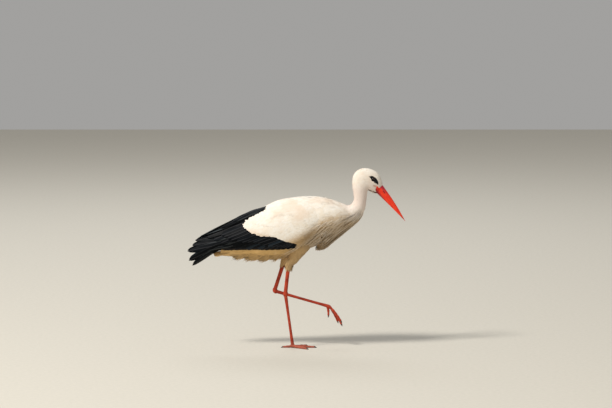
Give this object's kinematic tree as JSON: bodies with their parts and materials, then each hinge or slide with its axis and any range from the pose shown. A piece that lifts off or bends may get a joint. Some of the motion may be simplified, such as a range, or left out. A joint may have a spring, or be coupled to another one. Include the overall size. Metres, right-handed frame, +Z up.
{
  "type": "white stork figure",
  "caption": "Life-size adult white stork walking, balanced on one leg with the other foot carried forward, wings folded and bill pointing down.",
  "frame": {"origin": "on the floor, in the flat sole of the standing right foot, below the joint of tarsus and toes", "axes": "+X to the bird's front, where the bill points; +Y to the bird's left; +Z up"},
  "size_m": [0.8729, 0.199, 0.7231],
  "materials": {
    "plumage_white": "soft matt feathers",
    "plumage_cream": "soft matt feathers, stained by soil",
    "flight_feathers": "smooth feathers with a slight sheen",
    "bill_horn": "smooth satin horn",
    "leg_skin": "dry scaly skin",
    "claw_horn": "dull horn",
    "eye": "wet and glossy"
  },
  "bodies": {
    "root": {"head": "plumage_white", "neck_upper": "plumage_white", "neck_lower": "plumage_white", "trunk": "plumage_white", "tail": "plumage_white", "breast_plumes": "plumage_cream", "bill_upper": "bill_horn", "bill_lower": "bill_horn", "eye_right": "eye", "eye_left": "eye", "wing_right_coverts": "plumage_white", "wing_right_scapulars": "flight_feathers", "wing_right_secondaries": "flight_feathers", "wing_right_primaries": "flight_feathers", "thigh_right": "plumage_cream", "leg_right_shin": "leg_skin", "leg_right_ankle": "leg_skin", "leg_right_tarsus": "leg_skin", "foot_right_toe_inner": "leg_skin", "foot_right_claw_inner": "claw_horn", "foot_right_toe_middle": "leg_skin", "foot_right_claw_middle": "claw_horn", "foot_right_toe_outer": "leg_skin", "foot_right_claw_outer": "claw_horn", "foot_right_toe_hind": "leg_skin", "foot_right_claw_hind": "claw_horn", "foot_right_pad": "leg_skin", "wing_left_coverts": "plumage_white", "wing_left_scapulars": "flight_feathers", "wing_left_secondaries": "flight_feathers", "wing_left_primaries": "flight_feathers", "thigh_left": "plumage_cream", "leg_left_shin": "leg_skin", "leg_left_ankle": "leg_skin", "leg_left_tarsus": "leg_skin", "foot_left_toe_inner": "leg_skin", "foot_left_claw_inner": "claw_horn", "foot_left_toe_middle": "leg_skin", "foot_left_claw_middle": "claw_horn", "foot_left_toe_outer": "leg_skin", "foot_left_claw_outer": "claw_horn", "foot_left_toe_hind": "leg_skin", "foot_left_claw_hind": "claw_horn", "foot_left_pad": "leg_skin"}
  },
  "joints": []
}
